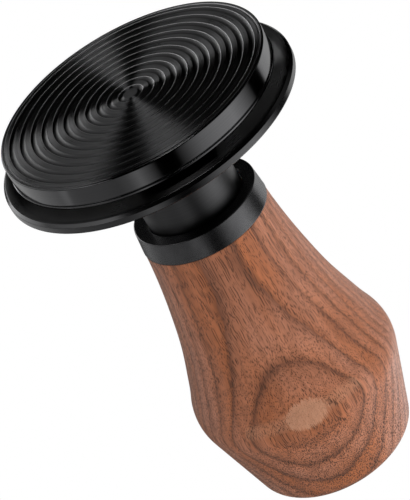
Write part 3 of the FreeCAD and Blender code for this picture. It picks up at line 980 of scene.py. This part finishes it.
def white_surround():
    """White behind the object, and no light from it on anything else."""
    world = bpy.data.worlds.new("white_surround")
    world.use_nodes = True
    tree = world.node_tree
    tree.nodes.clear()
    seen = node(tree, "LightPath", {}).outputs["Is Camera Ray"]
    background = node(tree, "Background", {"Color": (1, 1, 1, 1), "Strength": seen})
    output = node(tree, "OutputWorld", {"Surface": background.outputs[0]})
    output.is_active_output = True
    bpy.context.scene.world = world


def pale_floor():
    """A pale floor that is seen from above only, because the camera looks up past its level."""
    places = [FLOOR_SIDE * (step / FLOOR_CELLS - 0.5) for step in range(FLOOR_CELLS + 1)]
    verts = [(x, y, FLOOR_Z) for y in places for x in places]
    faces = []
    for row in range(FLOOR_CELLS):
        for column in range(FLOOR_CELLS):
            corner = row * (FLOOR_CELLS + 1) + column
            next_row = corner + FLOOR_CELLS + 1
            faces.append((corner, corner + 1, next_row + 1, next_row))
    mesh = bpy.data.meshes.new("pale_floor")
    mesh.from_pydata(verts, [], faces)
    floor = bpy.data.objects.new("pale_floor", mesh)
    bpy.context.scene.collection.objects.link(floor)
    material, tree, surface = shader("pale_floor", (0.86, 0.86, 0.85), 0.0, 0.7)
    grain = noise(tree, place_mm(tree), 0.6, 3)
    shade = mix(tree, grain, (0.84, 0.84, 0.83), (0.88, 0.88, 0.87))
    tree.links.new(shade, surface.inputs["Base Color"])
    under = node(tree, "NewGeometry", {}).outputs["Backfacing"]
    clear = node(tree, "BsdfTransparent", {}).outputs[0]
    both = node(tree, "MixShader", {0: under, 1: surface.outputs[0], 2: clear})
    tree.links.new(both.outputs[0], tree.nodes["Material Output"].inputs["Surface"])
    floor.data.materials.append(material)
    floor.visible_glossy = False
    floor.visible_shadow = False


# Each profile lists a light's radiance at azimuths from one of its sides to the other
KEY_PROFILE = [(-176, 0), (-164, 0.75), (-150, 1.45), (-134, 1.2), (-120, 0.85), (-108, 0.3), (-101, 0)]
REAR_PROFILE = [(100, 0), (108, 0.3), (120, 0.5), (136, 0.9), (150, 1.1), (155, 0.9), (158, 0)]
SIDE_PROFILE = [
    (-74, 0), (-65, 0.5), (-60, 0.8), (-52, 0.4), (-44, 0.28), (-30, 0.34), (-14, 0.36), (-4, 0.42), (4, 0),
]
FAR_PROFILE = [(-4, 0), (4, 0.46), (16, 0.58), (30, 0.65), (46, 0.6), (60, 0.4), (72, 0.3), (80, 0)]
BACK_PROFILE = [(72, 0), (80, 0.3), (90, 0.6), (100, 0.3), (108, 0)]
LEVEL_PROFILE = [(5, 0.5), (20, 0.7), (40, 1.4), (60, 2.6), (73, 3.2), (77, 0)]
LOW_PROFILE = [(-22, 2.2), (0, 0.8), (30, 0.5), (58, 0.4), (66, 0)]
LEFT_LOW_PROFILE = [(150, 0.08), (180, 0.15), (215, 0.15), (235, 0.08)]
BELOW_PROFILE = [(-7.8, 6.6), (7.8, 6.6)]
TOP_LEFT_PROFILE = [(135, 1.6), (205, 1.6)]
FILL_LEFT_PROFILE = [(165, 2.0), (225, 2.0)]
FILL_FRONT_PROFILE = [(-105, 1.65), (-50, 1.65)]
FILL_TOP_PROFILE = [(-25, 0.6), (25, 0.6)]


def lights():
    """Soft boxes all round: some show only in shiny surfaces, others light only matt ones."""
    soft_box("below_box", BELOW_PROFILE, -90, 0.12, distance=0.65, aim=LEFT_OF_FACE, seen="shine")
    soft_box("level_panel", LEVEL_PROFILE, -12, 1.3, distance=3.0, aim=FACE, seen="shine")
    soft_box("low_panel", LOW_PROFILE, -43, 1.9, distance=3.0, aim=FACE, seen="shine")
    soft_box("left_low_box", LEFT_LOW_PROFILE, -24, 0.4, distance=0.8, aim=FACE, seen="shine")
    soft_box("key_box", KEY_PROFILE, 30, 0.8)
    soft_box("rear_box", REAR_PROFILE, 30, 0.8)
    soft_box("side_box", SIDE_PROFILE, 30, 0.8)
    soft_box("far_box", FAR_PROFILE, 30, 0.8, seen="matt")
    soft_box("far_low_box", FAR_PROFILE, 30, 0.055, distance=0.25, aim=UNDER_FACE, seen="shine")
    soft_box("back_box", BACK_PROFILE, 15, 0.7, seen="shine")
    soft_box("top_left_box", TOP_LEFT_PROFILE, 56, 0.45, seen="shine")
    soft_box("fill_left", FILL_LEFT_PROFILE, 10, 1.0, distance=1.2, seen="matt")
    soft_box("fill_front", FILL_FRONT_PROFILE, -5, 1.2, distance=1.2, seen="matt")
    soft_box("fill_top", FILL_TOP_PROFILE, 80, 1.0, distance=1.2, seen="matt")


def photo_camera():
    """Camera that looks up from below the base's level, and is rolled."""
    camera = bpy.data.cameras.new("camera")
    camera.lens = CAMERA_LENS
    camera.sensor_width = CAMERA_SENSOR
    camera.clip_start = CAMERA_CLIP
    holder = bpy.data.objects.new("camera", camera)
    bpy.context.scene.collection.objects.link(holder)
    back = direction(CAMERA_AZIMUTH, CAMERA_ELEVATION)
    level = Vector((0, 0, 1)).cross(back).normalized()
    right = math.cos(CAMERA_ROLL) * level + math.sin(CAMERA_ROLL) * back.cross(level)
    turn = Matrix((right, back.cross(right), back)).transposed().to_4x4()
    holder.matrix_world = Matrix.Translation(CAMERA_AIM + back * CAMERA_DISTANCE) @ turn
    bpy.context.scene.camera = holder


white_surround()
pale_floor()
lights()
photo_camera()
bpy.context.scene.view_settings.view_transform = "Standard"
